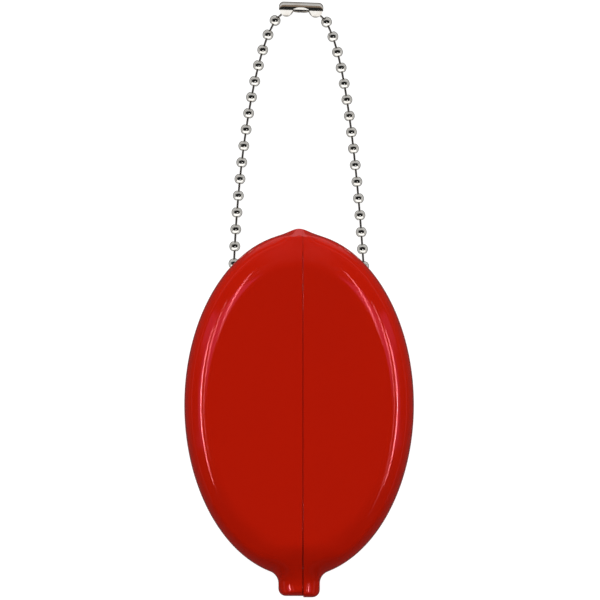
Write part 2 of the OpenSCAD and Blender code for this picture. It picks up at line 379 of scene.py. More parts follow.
def makeMetal(name, look):
    # The metal's edge tint takes the painted rim shade colour, which darkens its grazing reflections.
    values = {"Metallic": 1.0, "Specular Tint": (*look["paintedRimShadeColour"], 1)}
    material, tree, shader = newMaterial(name, values)
    slow, fine, worn, scuffed = placeWear(tree, {**plating, **look})
    tarnish = (slow * 0.5 + fine * 0.2 + 0.1).above(0) * look["tarnish"]
    tint = mixColour(tree, tarnish, look["colour"], look["tarnishColour"])
    tint = mixColour(tree, worn * 0.5, tint, look["edgeColour"])
    # Painted shade: the colour darkens towards the rim colour where the surface turns away from the view, a
    # dark outline standing in for the shade that its edges would mirror.
    facing = Field(tree, addNode(tree, "ShaderNodeLayerWeight", {"Blend": 0.5}).outputs["Facing"])
    paintedRimShadeMask = ((facing - look["paintedRimShadeFrom"]) * plating["paintedRimShadeSharpness"]).smooth()
    tint = mixColour(tree, paintedRimShadeMask * look["paintedRimShadeAmount"], tint, look["paintedRimShadeColour"])
    rough = fine * 0.02 + scuffed * 0.15 + tarnish * 0.1 + worn * 0.05 + look["roughness"]
    finishShader(tree, shader, tint, rough, fine - scuffed, look["grain"], 0.5)
    return material


# The rim values of each finish paint a dark shade ring on the metal's edges where they turn away from the
# view.
plating = {"fineScale": 2600.0, "scuffScale": 900.0, "edgeFrom": 0.55, "edgeWear": 0.5, "paintedRimShadeSharpness": 3.6}
nickel = {
    "ball": {
        "colour": (0.74, 0.72, 0.68), "tarnishColour": (0.42, 0.36, 0.29),
        "edgeColour": (0.9, 0.88, 0.85),
        "paintedRimShadeColour": (0.04, 0.037, 0.033), "paintedRimShadeAmount": 0.95, "paintedRimShadeFrom": 0.49,
        "roughness": 0.07, "tarnish": 0.5, "scuffs": 0.7, "slowScale": 700.0, "grain": 0.000006,
    },
    "pin": {
        "colour": (0.26, 0.24, 0.22), "tarnishColour": (0.12, 0.1, 0.08),
        "edgeColour": (0.4, 0.38, 0.35),
        "paintedRimShadeColour": (0.08, 0.075, 0.07), "paintedRimShadeAmount": 0.8, "paintedRimShadeFrom": 0.44,
        "roughness": 0.24, "tarnish": 0.8, "scuffs": 0.9, "slowScale": 900.0, "grain": 0.000002,
    },
    "clasp": {
        "colour": (0.74, 0.72, 0.68), "tarnishColour": (0.45, 0.35, 0.26),
        "edgeColour": (0.95, 0.93, 0.9),
        "paintedRimShadeColour": (0.2, 0.18, 0.16), "paintedRimShadeAmount": 0.8, "paintedRimShadeFrom": 0.38,
        "roughness": 0.12, "tarnish": 0.6, "scuffs": 1.0, "slowScale": 400.0, "grain": 0.0000015,
    },
}
redVinyl = makeVinyl()
brightNickel = makeMetal("brightNickel", nickel["ball"])
pinSteel = makeMetal("pinSteel", nickel["pin"])
claspNickel = makeMetal("claspNickel", nickel["clasp"])
print("finishes made")


# Purse

backLow, backHigh = (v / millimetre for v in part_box("back_shell"))
lipLow, lipHigh = (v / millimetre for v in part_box("right_lip"))
purse = {  # mm
    "thickness": lipHigh.z,
    "width": backHigh.x - backLow.x,
    "nibHeight": 0.95,
    "nibWidth": 2.6,
    "wall": 1.8,
    "rimSide": 5.5,  # the bevelled rim at the long sides and at the ends
    "rimEnd": 8.0,
    "spoutWidth": 9.2,
    "spoutLength": 4.2,
    "spoutCorner": 1.7,
    "spoutHollow": 2.8,
    "lipStep": backLow.y - lipLow.y,  # how far the right lip stands out at the spout
    "slitX": 0.85,
    "slitGap": 0.1,  # the lips all but touch
    "slitGapAtSpout": 0.2,
    "slitOpensFrom": 18.0,  # below the middle, over a run of slitOpensOver
    "slitOpensOver": 15,
    "slitClosesFrom": 33.5,  # above the middle; it is all but shut in the nib
    "slitClosesOver": 3,
    "columnStep": 0.25,
}
farAway = 99.0  # mm, for points that a distance doesn't matter to
halvings = 40
purseRule = {  # mm, with shares of the rim's width and degrees of turn
    "Middle": purse["thickness"] / 2,
    "Wall": purse["wall"],
    "Bevel Drop": 2.3,
    "Bevel From": 0.45,
    "Round From": 0.66,
    "Round Power": 2.3,
    "Crease Height": 37.4,
    "Crease Bow": 0.013,
    "Crease Reach": 4.4,
    "Neck Fade": 30.0,
    "Neck From": -30.5,
    "Neck To": -40.3,
    "Neck Round": 3.4,
    "Spout Round": purse["spoutWidth"] / 2,
    "Spout Thickness": 8.0,
    "Spout Corner": purse["spoutCorner"],
    "Spout End": backLow.y,
    "End Round": 1.1,
    "Facing": 1.0,
    "Slit Radius": 0.07,
    "Roll Depth": 0.06,
    "Roll Width": 1.3,
    "Weld": 0.0005,
    "Finish": redVinyl,
}
halfW = purse["width"] / 2
halfL = backHigh.y - purse["nibHeight"]
faceW, faceL = halfW - purse["rimSide"], halfL - purse["rimEnd"]
innerW, innerL = halfW - purse["wall"], halfL - purse["wall"]
spoutHalf = purse["spoutWidth"] / 2
spoutSteps = np.array([0, 3, 7, 9, 13])  # the spout's end, corner, side and hollow share its turn so


def ovalAt(width, length, turn):
    angle = np.radians(turn)
    return np.stack([width * np.cos(angle), length * np.sin(angle)], -1)


def arcAt(middle, radius, angle):
    return middle + radius * np.stack([np.cos(angle), np.sin(angle)], -1)


def ovalOutward(turn):
    angle = np.radians(turn)
    way = np.stack([halfL * np.cos(angle), halfW * np.sin(angle)], -1)
    return way / np.linalg.norm(way, axis=-1, keepdims=True)


def findHollowTurn():
    low, high = -90.0, -45.0
    for _ in range(halvings):
        middle = (low + high) / 2
        hollowX = ovalAt(halfW, halfL, middle)[0] + purse["spoutHollow"] * (ovalOutward(middle)[0] - 1)
        low, high = (low, middle) if hollowX > spoutHalf else (middle, high)
    return low


hollowTurn = findHollowTurn()
hollowMiddle = ovalAt(halfW, halfL, hollowTurn) + purse["spoutHollow"] * ovalOutward(hollowTurn)


def nibRise(x, onTop):
    return purse["nibHeight"] * np.exp(-((x / purse["nibWidth"]) ** 2)) * onTop


def rightOutline(turn, drop):
    # The outline's right half, at turns from -90 (the spout's end) to 90 (the nib).
    rounding = purse["spoutCorner"]
    corner = np.array([spoutHalf - rounding, -halfL - purse["spoutLength"] - drop + rounding])
    step = np.clip((turn + 90) / (hollowTurn + 90), 0, 1) * spoutSteps[-1]
    share = [(step - a) / (b - a) for a, b in zip(spoutSteps, spoutSteps[1:])]
    endLine = np.stack([corner[0] * share[0], np.full_like(turn, corner[1] - rounding)], -1)
    bend = np.radians(-90 + 90 * share[1])
    cornerArc = arcAt(corner, rounding, bend)
    sideY = corner[1] + (hollowMiddle[1] - corner[1]) * share[2]
    sideLine = np.stack([np.full_like(turn, spoutHalf), sideY], -1)
    inward = -ovalOutward(hollowTurn)
    bend = math.pi + (math.atan2(inward[1], inward[0]) - math.pi) * share[3]
    hollowArc = arcAt(hollowMiddle, purse["spoutHollow"], bend)
    oval = ovalAt(halfW, halfL, turn)
    oval[..., 1] += nibRise(oval[..., 0], turn > 0)
    parts = [endLine, cornerArc, sideLine, hollowArc]
    places = [(step <= b)[..., None] for b in spoutSteps[1:]]
    return np.where((turn >= hollowTurn)[..., None], oval, np.select(places, parts, hollowArc))


def outlineAt(turn, drop):
    turn = np.where(turn > 270, turn - 360, turn)
    onLeft = turn > 90
    points = rightOutline(np.where(onLeft, 180 - turn, turn), drop)
    points[..., 0] *= np.where(onLeft, -1, 1)
    return points


def distanceTo(points, line):
    run = line[1:] - line[:-1]
    away = points[:, None] - line[None, :-1]
    along = np.clip((away * run).sum(-1) / (run ** 2).sum(-1), 0, 1)
    return np.linalg.norm(away - along[..., None] * run, axis=-1).min(1)


def neckDistances(points, share, turn, drop):
    # How far each point near the spout is from the outline, and from its sides as if it had no end.
    toEdge, toSide = np.full(len(points), farAway), np.full(len(points), farAway)
    near = np.abs(180 - np.abs(turn - 90)) < purseRule["Neck Fade"]
    reach = purseRule["Neck Fade"] + 15
    edgeLine = outlineAt(np.linspace(270 - reach, 270 + reach, 500), drop)
    sideTurn = -90 + (hollowTurn + 90) * spoutSteps[2] / spoutSteps[-1]
    sideLine = rightOutline(np.linspace(sideTurn, -90 + reach, 300), drop)
    side = np.vstack([[spoutHalf, -halfL * 2], sideLine])
    toEdge[near] = distanceTo(points[near], edgeLine)
    toSide[near] = np.minimum(distanceTo(points[near], side), distanceTo(points[near], side * (-1, 1)))
    toEdge[near & (share >= 1)] = 0
    return toEdge, toSide


def ringPoint(share, turn, drop, inner):
    face = ovalAt(faceW, faceL, turn)
    rim = ovalAt(innerW, innerL, turn) if inner else outlineAt(turn, drop)
    points = face + (rim - face) * share[..., None]
    if not inner:  # the nib grows out of the rim's edge alone
        nib = nibRise(rim[..., 0], np.sin(np.radians(turn)) > 0)
        points[..., 1] -= nib * (share - share ** 5)
    return points


def slitEdge(y, side):
    opening = np.clip((-y - purse["slitOpensFrom"]) / purse["slitOpensOver"], 0, 1)
    closing = np.clip((y - purse["slitClosesFrom"]) / purse["slitClosesOver"], 0, 1)
    gap = purse["slitGap"] + (purse["slitGapAtSpout"] - purse["slitGap"]) * opening
    gap = gap * (1 - 0.9 * closing)
    return purse["slitX"] + side * gap / 2


def rimShares(count, evenTo=0.6):
    # Rows from the face to the edge, closer together where the rim turns down.
    lower = np.linspace(0, evenTo, count + 1)[:-1]
    return np.concatenate([lower, evenTo + (1 - evenTo) * np.sin(np.linspace(0, math.pi / 2, count))])


def slitTurns(shares, side, drop, inner, low, high):
    # The turn at which each ring meets the slit's edge, found by halving.
    low, high = np.full_like(shares, low), np.full_like(shares, high)
    for _ in range(halvings):
        middle = (low + high) / 2
        p = ringPoint(shares, middle, drop, inner)
        past = p[..., 0] > slitEdge(p[..., 1], side)
        lowX, highX = (ringPoint(shares[:1], end[:1], drop, inner)[0, 0] for end in (low, high))
        goLower = past if highX > lowX else ~past
        high, low = np.where(goLower, middle, high), np.where(goLower, low, middle)
    return (low + high) / 2


def spreadAlong(turnFrom, turnTo, drop, closeEnds):
    # Shares from 0 to 1 that lie evenly on the outline, closer together near the slit.
    fine = np.linspace(turnFrom, turnTo, 6001)  # turns at which the outline is measured
    points = outlineAt(fine, drop)
    run = np.concatenate([[0], np.cumsum(np.linalg.norm(np.diff(points, axis=0), axis=1))])
    if closeEnds:
        count = round((run[-1] - 2 * nearSlit[-1]) / purse["columnStep"])
        even = np.linspace(nearSlit[-1], run[-1] - nearSlit[-1], count + 1)
        wanted = np.concatenate([nearSlit[:-1], even, run[-1] - nearSlit[-2::-1]])
    else:
        wanted = np.linspace(0, run[-1], round(run[-1] / purse["columnStep"]) + 1)
    return np.interp(wanted, run, np.linspace(0, 1, len(fine)))


# Rows of points over the rim and over the face, as shares, and the first columns beside the slit, in mm
rimRows = rimShares(17)
faceRows = np.array([
    0, 0.0022, 0.005, 0.009, 0.014, 0.021, 0.03, 0.042, 0.057, 0.075, 0.1,
    0.14, 0.2, 0.3, 0.45, 0.62, 0.78, 0.89, 0.95, 0.98, 0.993,
])
backRows = np.array([0.02, 0.2, 0.4, 0.6, 0.8, 0.92])
nearSlit = np.array([0, 0.04, 0.09, 0.15, 0.23, 0.34, 0.48, 0.66, 0.88, 1.14, 1.45, 1.82, 2.25])


def joinRows(face, rim, share, turn):
    # The face's rows and then the rim's, with each point's share of the rim and turn.
    share = np.concatenate([np.zeros(face.shape[:2]), share])
    turn = np.concatenate([np.repeat(turn[:1], len(face), 0), turn])
    return np.concatenate([face, rim]), share, turn


def lipSkin(side, drop, inner):
    # The slit is met between these turns at the spout, and between 60 and 92 at the nib
    first, low, high = (272, 268, 290) if side < 0 else (-88, -92, -70)
    around = spreadAlong(first, 88, drop, True)
    starts = slitTurns(rimRows, side, drop, inner, low, high)
    ends = slitTurns(rimRows, side, drop, inner, 60, 92)
    turn = starts[:, None] + (ends - starts)[:, None] * around[None, :]
    share = np.repeat(rimRows[:, None], len(around), 1)
    rim = ringPoint(share, turn, drop, inner)
    edge = rim[0].copy()
    edge[:, 0] = slitEdge(edge[:, 1], side)
    face = edge[None] + (rim[0] - edge)[None] * faceRows[:, None, None]
    return joinRows(face, rim, share, turn)


def stitch(a, b, flip):
    # Quads between two equally long runs of points.
    quads = [[a[i], a[i + 1], b[i + 1], b[i]] for i in range(len(a) - 1)]
    return [q[::-1] for q in quads] if flip else quads


def gridFaces(index, flip):
    return [quad for a, b in zip(index, index[1:]) for quad in stitch(a, b, flip)]


def makeShellTree():
    # Lifts the purse's flat grid of points to its rule's height.
    tree, end, size = newTree("purseShellRule", purseRule)
    x, y, _ = splitVector(tree, addNode(tree, "GeometryNodeInputPosition"))
    share, turn, toEdge, toSide, inner, fromSlit, edgeY = (
        Field(tree, readAttribute(tree, name))
        for name in ("s_share", "s_turn", "s_toEdge", "s_toSide", "s_inner", "s_fromSlit", "s_edgeY")
    )
    outer = 1 - inner
    # The rim: a straight bevel that leaves the face in an arc, then a round edge, or a facet at the nib
    bevelFrom = size("Bevel From")
    arc = (bevelFrom - share).above(0)
    bevel = (share - bevelFrom / 2 + arc * arc / (bevelFrom * 2)) / (1 - bevelFrom / 2)
    roundFrom = size("Round From")
    rounded = (1 - (((share - roundFrom) / (1 - roundFrom)).above(0) ** size("Round Power"))).root()
    creaseY = size("Crease Height") - x * x * size("Crease Bow")
    facet = 1 - ((y - creaseY) / (edgeY - creaseY).above(0.01)).above(0).below(1)
    atNib = turn.math("RADIANS").math("SINE").math("GREATER_THAN", 0.0)
    nearNib = ((x / size("Crease Reach")) ** 2 * -1).math("EXPONENT")
    nibShare = nearNib * atNib * outer * (edgeY - creaseY).smooth()
    slope = 1 - size("Bevel Drop") / size("Middle") * bevel
    rim = slope * (nibShare * facet + (1 - nibShare) * rounded)
    # The spout: it falls from the flat face to a flattened tube
    neck = (1 - ((180 - (turn - 90).math("ABSOLUTE")) / size("Neck Fade")).smooth()) * outer
    fallen = ((size("Neck From") - y) / (size("Neck From") - size("Neck To"))).smooth()
    tubeShare = size("Spout Thickness") / (size("Middle") * 2)
    roundWidth = size("Neck Round") + (size("Spout Round") - size("Neck Round")) * fallen
    pastCorner = (y - size("Spout End") - size("Spout Corner")).above(0)
    sideRound = 1 - (1 - (toSide / roundWidth).below(1)) ** 4
    endRound = 1 - (1 - (toEdge / size("End Round") + pastCorner).below(1)) ** 4
    onEdge = toEdge.math("GREATER_THAN", 0.0)
    section = (1 - (1 - sideRound * endRound).root()).root()
    spout = (1 - fallen * (1 - tubeShare)) * section * onEdge
    height = neck * spout + (1 - neck) * rim
    depth = size("Middle") - size("Wall") * inner
    # The slit's edges roll in a little and end in a small round
    radius = size("Slit Radius")
    short = (radius - fromSlit).above(0)
    edge = radius - (radius * radius - short * short).root()
    roll = (1 - (fromSlit / size("Roll Width")).smooth()) * size("Roll Depth")
    lower = (edge + roll) * (height * 3).smooth() * outer
    z = size("Middle") + size("Facing") * (depth * height - lower)
    merged = placeAndWeld(tree, size("Geometry"), x, y, z, size("Weld"))
    return closeTree(tree, size("Finish"), end, merged.outputs[0])


shellTree = makeShellTree()


def shellPiece(name, skins, faces, drop, facing, side):
    points = np.concatenate([s[0].reshape(-1, 2) for s in skins])
    piece = meshFrom(name, np.column_stack([points, np.zeros(len(points))]), faces)
    inner = np.concatenate([np.full(s[1].size, i) for i, s in enumerate(skins)])
    share = np.concatenate([s[1].ravel() for s in skins])
    turn = np.concatenate([s[2].ravel() for s in skins])
    turn = np.where(turn > 270, turn - 360, turn)
    toEdge, toSide = neckDistances(points, share, turn, drop)
    fromSlit = np.full(len(points), farAway)
    if side:
        fromSlit = np.abs(points[:, 0] - slitEdge(points[:, 1], side))
    known = {
        "s_share": share, "s_turn": turn, "s_edgeY": outlineAt(turn, drop)[:, 1],
        "s_toEdge": toEdge, "s_toSide": toSide, "s_inner": inner, "s_fromSlit": fromSlit,
    }
    for label, values in known.items():
        setAttribute(piece, label, values)
    growWith(piece, shellTree, {**purseRule, "Facing": float(facing)})
    return piece


def makeLip(name, side, drop):
    outer, inner = lipSkin(side, drop, False), lipSkin(side, drop, True)
    count = outer[1].size
    index = np.arange(count).reshape(outer[1].shape)
    flip = side < 0
    faces = gridFaces(index, not flip) + gridFaces(index + count, flip)
    sides = ((index[0], flip), (index[-1], not flip), (index[:, 0], not flip), (index[:, -1], flip))
    for line, turned in sides:
        faces += stitch(line, line + count, turned)
    return bake(shellPiece(name, [outer, inner], faces, drop, 1, side), 35)


def backSkin(inner):
    turn = spreadAlong(-90, 270, 0, False)[:-1] * 360 - 90
    share = np.repeat(rimRows[:, None], len(turn), 1)
    turn = np.repeat(turn[None], len(rimRows), 0)
    rim = ringPoint(share, turn, 0, inner)
    return joinRows(rim[0][None] * backRows[:, None, None], rim, share, turn)


def cutChainHoles(back, holes):
    # Drills a round hole through the wall from each rim ball to the ball inside the hole.
    sides = chain["holeSides"]
    angles = np.linspace(0, 2 * math.pi, sides + 1)[:-1]
    walls = [[j, (j + 1) % sides, sides + (j + 1) % sides, sides + j] for j in range(sides)]
    caps = [list(range(sides))[::-1], list(range(sides, 2 * sides))]
    for i, (p, q) in enumerate(holes):
        way = (q - p).normalized()
        turned = way.to_track_quat("Z", "Y")
        ring = [turned @ Vector((math.cos(a), math.sin(a), 0)) * chain["holeWidth"] / 2 for a in angles]
        ends = [p - way * chain["ballWidth"], q + way * chain["ballWidth"]]
        cutter = meshFrom(f"holeCutter{i}", [e + r for e in ends for r in ring], [*walls, *caps])
        modifier = back.modifiers.new("chainHole", "BOOLEAN")
        modifier.operation = "DIFFERENCE"
        modifier.solver = "EXACT"
        modifier.object = cutter
        yield cutter


# Chain

chain = {  # mm
    "ballWidth": 2.42,
    "holeWidth": 3.0,  # of the holes in the purse
    "holeSides": 40,
    "pinHeadLength": 0.3,
    "headOffset": 0.52,  # of a head's middle from its ball's
}


def boxMiddle(node):
    low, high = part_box(node)
    return (low + high) / 2 / millimetre


def islandMiddles(node, gap=0.3):
    # Centres of a node's separate solids, which lie apart along X, from left to right.
    points = np.array([v.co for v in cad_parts[node].data.vertices]) / millimetre
    points = points[np.argsort(points[:, 0])]
    cuts = np.nonzero(np.diff(points[:, 0]) > gap)[0] + 1
    return [Vector((part.min(0) + part.max(0)) / 2) for part in np.split(points, cuts)]


def strandMiddles(side):
    along = [f"{side}_ball_{k:02d}" for k in range(1, strand + 1)]
    return [boxMiddle(node) for node in (f"clasp_ball_{side}", *along, f"{side}_rim_ball")]


# The loop's balls in order: down the left strand, through the purse and up the right strand
strand = sum(name.startswith("left_ball_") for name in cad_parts)
leftSide, rightSide = strandMiddles("left"), strandMiddles("right")
holeLeft, holeRight = islandMiddles("hole_balls")
ballMiddles = [*leftSide, holeLeft, *islandMiddles("hidden_balls"), holeRight, *rightSide[::-1]]
lastBall = len(ballMiddles) - 1

ballRule = {
    "Ball Width": chain["ballWidth"],
    "Ball Wall": 0.25,
    "Pin Hole": 1.04,
    "Lip Turn": 0.1,
    "Weld": 0.002,
    "Around": 40,
    "Along": 34,
    "Finish": brightNickel,
}
pinRule = {
    "Pin Width": 0.45,
    "Head Width": 1.16,
    "Head Length": chain["pinHeadLength"],
    "Head Ease": 0.08,
    "Crown Height": 0.1,
    "Crown Slope": 3.0,
    "Steps": 25,
    "Sides": 20,
    "Finish": pinSteel,
}


def makeBallTree():
    # A hollow ball: a closed profile turned about the chain's line, set on each point of the input.
    tree, end, size = newTree("hollowBalls", ballRule)
    grid = addNode(tree, "GeometryNodeMeshGrid", {
        "Size X": 1.0, "Size Y": 1.0, "Vertices X": size("Around"), "Vertices Y": size("Along"),
    })
    x, y, _ = splitVector(tree, addNode(tree, "GeometryNodeInputPosition"))
    around = (x + 0.5) * (2 * math.pi)
    along = y + 0.5
    # The first 0.7 of the profile is the outside, the rest comes back along the inside
    outside = 0.7
    out = (along / outside).below(1)
    back = ((along - outside) / (1 - outside)).above(0)
    radius = size("Ball Width") / 2
    innerRadius = radius - size("Ball Wall")
    outAngle = (size("Pin Hole") / 2 / radius).math("ARCSINE")
    inAngle = (size("Pin Hole") / 2 / innerRadius).math("ARCSINE")
    angle = outAngle + (math.pi - 2 * outAngle) * out
    backAngle = (math.pi - inAngle) - (math.pi - 2 * inAngle) * back
    isBack = along.math("GREATER_THAN", outside + 0.0001)
    turn = angle * (1 - isBack) + backAngle * isBack
    # The sheet is drawn in a little where it closes on the pin
    dimple = ((turn.math("COSINE").math("ABSOLUTE") ** 14) * size("Lip Turn")) * (1 - isBack)
    reach = radius * (1 - isBack) + innerRadius * isBack - dimple
    ringReach = reach * turn.math("SINE")
    x, y = ringReach * around.math("COSINE"), ringReach * around.math("SINE")
    z = reach * turn.math("COSINE")
    closed = placeAndWeld(tree, grid.outputs["Mesh"], x, y, z, size("Weld"))
    way = readAttribute(tree, "b_along", "FLOAT_VECTOR")
    turned = addNode(tree, "FunctionNodeAlignRotationToVector", {"Vector": way}, axis="Z")
    points = addNode(tree, "GeometryNodeMeshToPoints", {"Mesh": size("Geometry")})
    placed = addNode(tree, "GeometryNodeInstanceOnPoints", {
        "Points": points.outputs[0], "Instance": closed.outputs[0], "Rotation": turned.outputs[0],
    })
    return closeTree(tree, size("Finish"), end, placed.outputs[0])


def makePinTree():
    # A wire with a head at each end along every edge of the input.
    tree, end, size = newTree("headedPins", pinRule)
    curve = addNode(tree, "GeometryNodeMeshToCurve", {"Mesh": size("Geometry")})
    even = addNode(tree, "GeometryNodeResampleCurve", {"Curve": curve.outputs[0], "Count": size("Steps")})
    spline = addNode(tree, "GeometryNodeSplineParameter")
    length = addNode(tree, "GeometryNodeSplineLength")
    along = Field(tree, spline.outputs["Length"])
    toEnd = along.math("MINIMUM", Field(tree, length.outputs["Length"]) - along)
    head = ((size("Head Length") - toEnd) / size("Head Ease") + 0.5).smooth()
    crown = 1 - (size("Crown Height") - toEnd).above(0) * size("Crown Slope")
    radius = (size("Pin Width") + (size("Head Width") - size("Pin Width")) * head) / 2 * crown
    circle = {"Resolution": size("Sides"), "Radius": 1.0}
    profile = addNode(tree, "GeometryNodeCurvePrimitiveCircle", circle).outputs["Curve"]
    swept = addNode(tree, "GeometryNodeCurveToMesh", {
        "Curve": even.outputs[0], "Profile Curve": profile, "Scale": radius, "Fill Caps": True,
    })
    return closeTree(tree, size("Finish"), end, swept.outputs[0])


ballTree = makeBallTree()
pinTree = makePinTree()


def makeBalls(name, indices, body, nodes):
    piece = meshFrom(name, [ballMiddles[i] for i in indices])
    beside = [(ballMiddles[max(i - 1, 0)], ballMiddles[min(i + 1, lastBall)]) for i in indices]
    ways = [(after - before).normalized() for before, after in beside]
    setAttribute(piece, "b_along", ways, "FLOAT_VECTOR")
    growWith(piece, ballTree, ballRule)
    bake(piece, 50)
    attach(piece, body)
    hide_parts(*nodes)
    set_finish(piece, "ball_steel")


def makePins(name, indices, body, nodes):
    points = []
    for i in indices:
        way = (ballMiddles[i + 1] - ballMiddles[i]).normalized()
        inset = way * (chain["headOffset"] - chain["pinHeadLength"] / 2)
        points += [ballMiddles[i] + inset, ballMiddles[i + 1] - inset]
    piece = meshFrom(name, points, edges=[(2 * j, 2 * j + 1) for j in range(len(indices))])
    growWith(piece, pinTree, pinRule)
    bake(piece, 40)
    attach(piece, body)
    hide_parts(*nodes)
    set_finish(piece, "pin_steel")


for k in range(1, strand + 1):
    nodes = [f"left_ball_{k:02d}", f"right_ball_{k:02d}"]
    makeBalls(f"chainBalls{k:02d}", [k, lastBall - k], f"rung_{k:02d}", nodes)
for k in range(strand + 1):
    node = f"pins_{k:02d}" if k else "clasp_pins"
    makePins(f"chainPins{k:02d}", [k, lastBall - k - 1], f"link_{k:02d}", [node])
makeBalls("claspBalls", [0, lastBall], "clasp", ["clasp_ball_left", "clasp_ball_right"])
innerRun = range(strand + 1, lastBall - strand)
makeBalls("rimBalls", [innerRun[0], innerRun[-1]], "purse_back", ["left_rim_ball", "right_rim_ball"])
makeBalls("purseChainBalls", innerRun[1:-1], "purse_back", ["hole_balls", "hidden_balls"])
makePins("purseChainPins", innerRun[:-1], "purse_back", ["hidden_pins"])
print("chain made")


# The purse's three parts

def makeBack():
    outer, inner = backSkin(False), backSkin(True)
    count = outer[1].size
    index = np.arange(count).reshape(outer[1].shape)
    around = np.column_stack([index, index[:, 0]])
    faces = gridFaces(around, True) + gridFaces(around + count, False)
    faces += stitch(around[-1], around[-1] + count, False)
    faces += [list(index[0]), list(index[0] + count)[::-1]]
    back = shellPiece("purseBack", [outer, inner], faces, 0, -1, 0)
    bake(back)
    back.data.transform(Matrix.Scale(1 / millimetre, 4))
    holes = [(leftSide[-1], holeLeft), (rightSide[-1], holeRight)]
    cutters = list(cutChainHoles(back, holes))
    bake(back, 35)
    for cutter in cutters:
        bpy.data.objects.remove(cutter)
    return back


purseBack = makeBack()
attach(purseBack, "purse_back")
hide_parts("back_shell")
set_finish(purseBack, "red_vinyl")

bend = {  # mm
    "from": purse["thickness"] / 2 + 0.2,  # heights between which a lip starts to follow its joint
    "to": 12.6,
    "mouth": 38.0,  # half length of the almond that opens
    "mouthPower": 1.2,
}


def bendLip(lip, body):
    # The lip follows its joint less towards the nib and the spout, so that it opens as an almond.
    low, high = bend["from"] * millimetre, bend["to"] * millimetre
    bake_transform(lip, "purse_back", body, start=(0, 0, low), end=(0, 0, high))
    weights = lip.data.attributes["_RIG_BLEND"]
    values = np.zeros(len(lip.data.vertices), np.float32)
    weights.data.foreach_get("value", values)
    y = np.array([v.co.y for v in lip.data.vertices]) / millimetre
    mouth = np.clip(1 - (y / bend["mouth"]) ** 2, 0, 1) ** bend["mouthPower"]
    weights.data.foreach_set("value", (values * mouth).astype(np.float32))


lips = (("leftLip", -1, 0.0, "left_lip"), ("rightLip", 1, purse["lipStep"], "right_lip"))
for name, side, drop, node in lips:
    lip = makeLip(name, side, drop)
    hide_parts(node)
    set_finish(lip, "red_vinyl")
    bendLip(lip, node)
print("purse made")


# Clasp

clasp = {  # mm
    "length": 9.64,
    "lobe": 1.6,  # radius of the scallop under a ball
    "sheet": 0.25,
    "top": 1.75,  # height of the spine over the balls' centres
    "halfDepth": 1.49,
    "pinch": 0.86,  # depth of the ends, as a share
    "cornerRound": 0.95,
    "frontArch": 0.6,
    "backArch": -0.5,
    "archDip": 0.05,
    "archHalf": 0.45,  # half length of the arch between its shoulders
    "archStart": 0.3,  # from a ball's middle to its shoulder
    "curl": 68.0,  # degrees that a cup reaches round under its ball
    "edgeRound": 0.09,
    "edgeSteps": 3,
    "edgeAngle": 50,
    "columns": 141,
    "rows": 71,
    "crowding": 0.6,  # how far the columns draw together at the ends
}


def ease(value):
    held = np.clip(value, 0, 1)
    return held * held * (3 - 2 * held)


def makeClasp():
    half, sheetHalf = clasp["length"] / 2, clasp["sheet"] / 2
    ballX = (rightSide[0] - leftSide[0]).length / 2
    even = np.linspace(-1, 1, clasp["columns"])
    crowded = np.sin(np.linspace(-math.pi / 2, math.pi / 2, clasp["columns"]))
    x = half * (clasp["crowding"] * crowded + (1 - clasp["crowding"]) * even)
    reach, corner = np.abs(x), clasp["cornerRound"]
    intoEnd = np.clip((reach - half + corner) / corner, 0, 1)
    endRound = np.sqrt(1 - intoEnd ** 2)
    top = clasp["top"] - sheetHalf - corner * (1 - endRound)
    depth = (clasp["halfDepth"] - sheetHalf) * (clasp["pinch"] + (1 - clasp["pinch"]) * endRound)
    lobe = clasp["lobe"] - sheetHalf
    under = lobe / math.sin(math.radians(clasp["curl"]))

    def lowEdge(arch):
        # A cup's round edge, which rises over a shoulder to the arch
        scallop = -np.sqrt(np.clip(lobe ** 2 - (reach - ballX) ** 2, 0.01, None))
        archFrom = ballX - clasp["archStart"]
        shoulder = ease((archFrom - reach) / (archFrom - clasp["archHalf"]))
        return scallop + (arch - clasp["archDip"] * x ** 2 - scallop) * shoulder

    sides = []
    for arch, facing in ((clasp["frontArch"], 1), (clasp["backArch"], -1)):
        low = lowEdge(arch)
        start = np.arcsin(np.clip(np.where(low > 0, low / top, low / under), -1, 1))
        side = []
        for t in np.linspace(0, 1, clasp["rows"] // 2, endpoint=False):
            angle = start + (math.pi / 2 - start) * t
            y = np.where(angle > 0, top, under) * np.sin(angle)
            side.append(np.stack([x, y, facing * depth * np.cos(angle)], -1))
        sides.append(side)
    spine = [np.stack([x, top, np.zeros_like(x)], -1)]
    points = np.array(sides[0] + spine + sides[1][::-1])
    middle = (rightSide[0] + leftSide[0]) / 2
    along = (rightSide[0] - leftSide[0]).normalized()
    up = Vector((0, 0, 1))
    turned = Matrix((along, up.cross(along), up)).transposed()
    placed = [turned @ Vector(p) + middle for p in points.reshape(-1, 3)]
    index = np.arange(len(placed)).reshape(len(points), -1)
    piece = meshFrom("foldedClasp", placed, gridFaces(index, True))
    piece.data.materials.append(claspNickel)
    thick = piece.modifiers.new("sheet", "SOLIDIFY")
    thick.thickness = clasp["sheet"]
    thick.offset = 0
    soften = piece.modifiers.new("edges", "BEVEL")
    soften.width = clasp["edgeRound"]
    soften.segments = clasp["edgeSteps"]
    soften.angle_limit = math.radians(clasp["edgeAngle"])
    return bake(piece, clasp["edgeAngle"])


foldedClasp = makeClasp()
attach(foldedClasp, "clasp")
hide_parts("clasp")
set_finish(foldedClasp, "clasp_steel")
print("clasp made")


# Floor, light and sky

